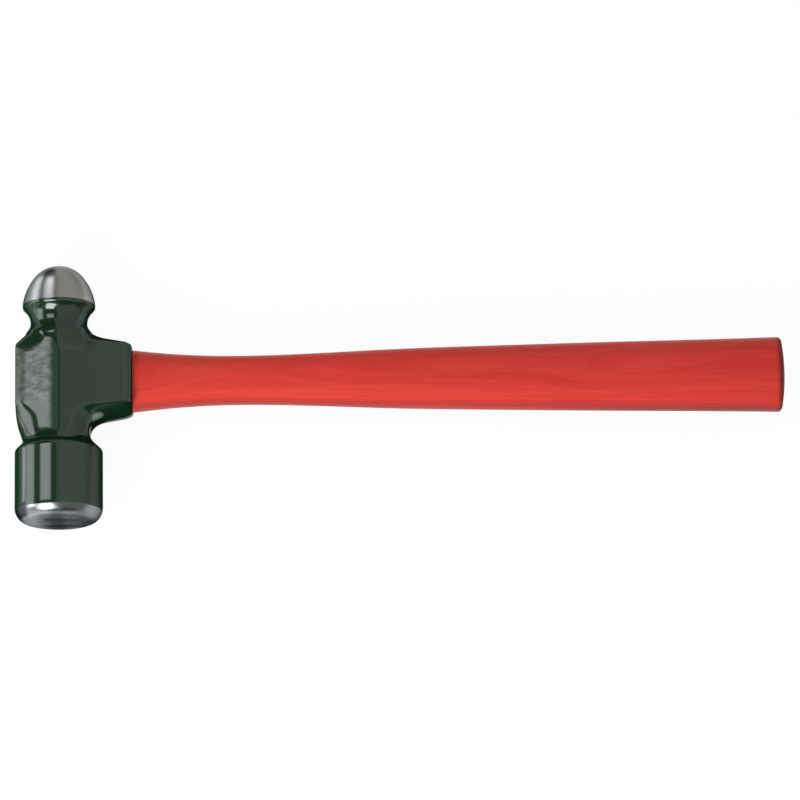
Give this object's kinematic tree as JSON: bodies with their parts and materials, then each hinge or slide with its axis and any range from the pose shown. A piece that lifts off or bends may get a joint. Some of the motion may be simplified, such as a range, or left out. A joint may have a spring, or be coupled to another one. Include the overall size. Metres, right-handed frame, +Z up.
{
  "type": "ball peen hammer",
  "caption": "Ball peen hammer: forged steel head with a crowned striking face, flat cheeks and a ground ball, wedged and bonded onto an oval red wooden handle.",
  "frame": {"origin": "centre of the head's flat top, on the handle's axis", "axes": "+X along the handle towards its butt, +Y along the head towards the ball, +Z up square to the cheeks, with the hammer lying on its side"},
  "size_m": [0.4006, 0.1378, 0.0458],
  "materials": {
    "lacquered_steel": "dark green-black lacquer over forged steel, bare ground steel on the face and the ball",
    "lacquered_wood": "clear red lacquer over straight-grained hardwood",
    "resin": "cured amber resin",
    "wedge_wood": "bare end grain",
    "wedge_steel": "ground flush"
  },
  "bodies": {
    "root": {"head": "lacquered_steel", "handle": "lacquered_wood", "eye_bond": "resin", "wood_wedge": "wedge_wood", "steel_wedge_face_side": "wedge_steel", "steel_wedge_ball_side": "wedge_steel"}
  },
  "joints": []
}
